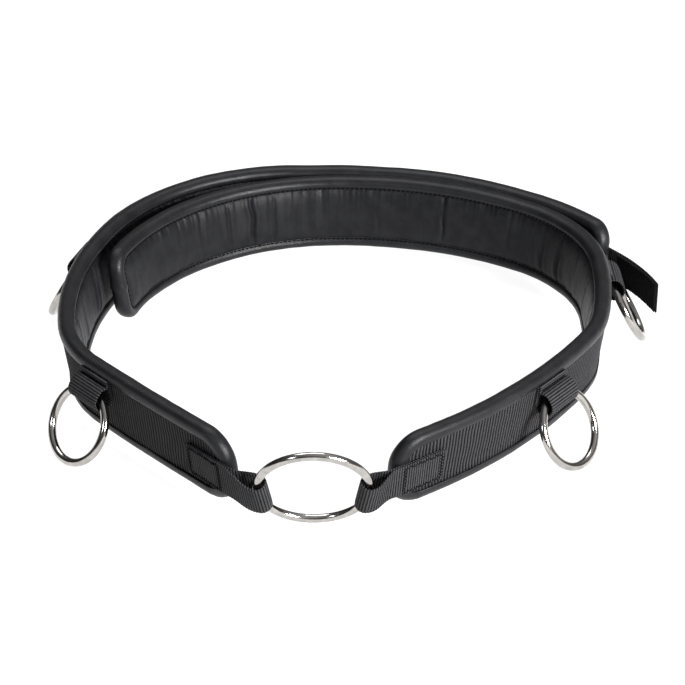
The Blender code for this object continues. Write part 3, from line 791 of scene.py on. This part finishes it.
def tail():
    """Webbing sewn on the end of the outer half and running free beyond it."""
    distance = np.linspace(TAIL_PATCH_LENGTH, 0, 60)
    s = LEFT.length - distance
    on_webbing = WEBBING_FACE + GAP + STRAP_THICKNESS / 2
    sewn = LEFT.point(s, on_webbing + ramp(distance) * (TAIL_OFFSET - on_webbing), TAIL_HEIGHT)
    free, _ = tail_points(0.0, np.linspace(0.0012, TAIL_LENGTH, 60))
    points = np.concatenate([sewn, free])
    lean = np.array([LEFT.up(v) for v in s])
    across = np.concatenate([lean, np.linspace(lean[-1], (0, 0, 1.0), 60)])
    strap = ribbon("tail_webbing", points, across, STRAP_WIDTH)
    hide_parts("tail_patch", "tail_strap")
    root, _ = tail_points(0.0, np.array([0.0, 0.001, 0.008]))
    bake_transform(strap)
    first, last = LEFT.length - 0.010, LEFT.length - TAIL_PATCH_LENGTH + 0.003
    box = box_stitch(LEFT, first, last, TAIL_HEIGHT, 0.0105, level=0)
    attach(threads("tail_patch_stitching", box, TAIL_THREAD), "left_wing")


def hook_tape():
    """Hook tape on the tail's inner side, stitched down along its edges and across its end."""
    under = -(STRAP_THICKNESS / 2 + GAP + HOOK_THICKNESS / 2)
    centre, normal = tail_points(under, np.linspace(HOOK_START, TAIL_LENGTH - 0.001, 60))
    up = np.repeat([[0, 0, 1.0]], 60, axis=0)
    width = STRAP_WIDTH - 0.0016
    hook = rough_sheet(
        "hook_tape", centre, up, -normal, width, HOOK_THICKNESS, 0.0007, HOOK_TAPE, seed=71
    )
    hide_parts("tail_hook_tape")
    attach(hook, "tail")
    face = -(STRAP_THICKNESS / 2 + GAP + HOOK_THICKNESS + 0.0003)
    edge = []
    for z in (-1, 1):
        line, _ = tail_points(face, np.linspace(HOOK_START, TAIL_LENGTH - 0.0022, 34))
        line[:, 2] += z * (STRAP_WIDTH / 2 - 0.0020)
        edge += [line[i : i + 2] for i in range(0, 34, 2)]
    cross, _ = tail_points(face, np.full(12, TAIL_LENGTH - 0.0026))
    cross[:, 2] += np.linspace(-1, 1, 12) * (STRAP_WIDTH / 2 - 0.002)
    edge += [cross[i : i + 2] for i in range(0, 12, 2)]
    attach(threads("tail_edge_stitching", edge, TAIL_THREAD), "tail")


def loop_panel():
    """Loop pile on the inner half, where the hook tape takes hold."""
    s = np.linspace(*LOOP_PANEL_SPAN, 120)
    centre = RIGHT.point(s, WEBBING_FACE + GAP + 0.0004, BAND_HEIGHT / 2)
    up = np.array([RIGHT.up(v) for v in s])
    out = np.array([RIGHT.out(v) for v in s])
    pile = rough_sheet(
        "loop_pile_panel", centre, up, out, LOOP_PANEL_HEIGHT, 0.0008, 0.0006, LOOP_PILE, seed=81
    )
    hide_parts("loop_panel")
    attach(pile, "right_wing")


# ---- the whole belt ---------------------------------------------------------------------------------

# Points between which the fabric is meant to bend from one length to the next, well clear of the tabs;
# nothing in this script reads them.
BENDS = {
    "left": (LEFT.point(0.200, 0.0, 0.03), np.array([0.0, 1.0, 0.0]), 0.096),
    "right": (RIGHT.point(0.177, 0.0, 0.03), unit(np.array([-0.12, 1.0, 0.0])), 0.108),
}


def build_half(side, band, creases, seed):
    """One half's rim, pad, webbing and seam, built in place with their transforms baked in."""
    parts = [
        binding(side, band, seed),
        pad(side, band, creases, seed + 10),
        wide_webbing(side, band, seed + 30),
        seam(side, band),
    ]
    for part in parts:
        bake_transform(part)


build_half("left", LEFT, LEFT_CREASES, 100)
build_half("right", RIGHT, RIGHT_CREASES, 200)
front_strap("left", LEFT, -1)
front_strap("right", RIGHT, 1)
for half_name, half_band, tabs in (("left", LEFT, LEFT_TABS), ("right", RIGHT, RIGHT_TABS)):
    for place, where in tabs.items():
        side_tab(place, half_band, where, half_name + ("_front" if "front" in place else "_wing"))
        side_ring(place, half_band, where)
ring_across, ring_up = ring_directions()
ring("centre_ring", centre_ring_middle(), ring_across, -ring_up, CENTRE_RING_RADIUS)
tail()
hook_tape()
loop_panel()

# ---- floor, light and camera --------------------------------------------------------------------------


def floor():
    """A white sweep that lights the belt from below."""
    mesh = bpy.data.meshes.new("floor")
    far = 30.0
    mesh.from_pydata([(-far, -far, 0), (far, -far, 0), (far, far, 0), (-far, far, 0)], [], [(0, 1, 2, 3)])
    paint = bpy.data.materials.new("pale_floor")
    paint.use_nodes = True
    shader = paint.node_tree.nodes["Principled BSDF"]
    shader.inputs["Base Color"].default_value = (0.22, 0.22, 0.22, 1)
    shader.inputs["Roughness"].default_value = 0.9
    shader.inputs["Specular IOR Level"].default_value = 0.1
    shader.inputs["Emission Color"].default_value = (1, 1, 1, 1)
    shader.inputs["Emission Strength"].default_value = 0.92
    mesh.materials.append(paint)
    obj = bpy.data.objects.new("floor", mesh)
    obj.location.z = -0.0004
    bpy.context.scene.collection.objects.link(obj)


def area_light(name, place, target, size, power, colour=(1, 1, 1)):
    light = bpy.data.lights.new(name, "AREA")
    light.shape = "RECTANGLE"
    light.size, light.size_y = size
    light.energy = power
    light.color = colour
    obj = bpy.data.objects.new(name, light)
    obj.location = place
    obj.rotation_euler = (Vector(target) - Vector(place)).to_track_quat("-Z", "Y").to_euler()
    bpy.context.scene.collection.objects.link(obj)


def surroundings():
    """A pale room: white at the floor line, dim and warm above it, and darker to the left."""
    world = bpy.data.worlds.new("studio")
    bpy.context.scene.world = world
    world.use_nodes = True
    tree = world.node_tree
    where = tree.nodes.new("ShaderNodeTexCoord")
    split = tree.nodes.new("ShaderNodeSeparateXYZ")
    bands = tree.nodes.new("ShaderNodeValToRGB")
    tree.links.new(where.outputs["Generated"], split.inputs["Vector"])
    tree.links.new(split.outputs["Z"], bands.inputs["Fac"])
    tree.links.new(bands.outputs["Color"], tree.nodes["Background"].inputs["Color"])
    side = tree.nodes.new("ShaderNodeMapRange")
    for key, value in (("From Min", -0.7), ("From Max", 0.3), ("To Min", 0.25), ("To Max", 1.0)):
        side.inputs[key].default_value = value
    tree.links.new(split.outputs["X"], side.inputs["Value"])
    tree.links.new(side.outputs["Result"], tree.nodes["Background"].inputs["Strength"])
    marks = [
        (0.00, (0.95, 0.95, 0.95)), (0.05, (0.80, 0.80, 0.80)), (0.10, (0.15, 0.135, 0.125)),
        (0.34, (0.15, 0.138, 0.132)), (0.55, (0.24, 0.235, 0.23)), (0.80, (0.50, 0.50, 0.51)),
    ]
    while len(bands.color_ramp.elements) < len(marks):
        bands.color_ramp.elements.new(0.5)
    for element, (position, colour) in zip(bands.color_ramp.elements, marks):
        element.position = position
        element.color = (*colour, 1)


def camera():
    """Thirty degrees above the belt, from a long way in front of it."""
    aim = np.array([FRAME_SHIFT[0], FRAME_SHIFT[1], STANDING_HEIGHT])
    elevation, distance = math.radians(30.0), 1.935
    place = aim + distance * np.array([0, -math.cos(elevation), math.sin(elevation)])
    data = bpy.data.cameras.new("camera")
    data.sensor_width = 36.0
    data.lens = 134.8
    data.clip_end = 200.0
    obj = bpy.data.objects.new("camera", data)
    obj.location = place
    obj.rotation_euler = Vector(aim - place).to_track_quat("-Z", "Y").to_euler()
    bpy.context.scene.collection.objects.link(obj)
    bpy.context.scene.camera = obj


floor()
surroundings()
area_light("key", (1.55, -1.65, 1.05), (0.05, 0, 0.04), (0.9, 0.7), 165)
area_light("top", (-0.2, 0.8, 1.8), (0, 0, 0), (1.4, 0.9), 20)
area_light("left_rim", (-1.3, -1.5, 1.2), (-0.1, -0.2, 0.04), (0.3, 0.4), 8, (0.88, 0.93, 1.0))
camera()
bpy.context.scene.view_settings.view_transform = "Standard"
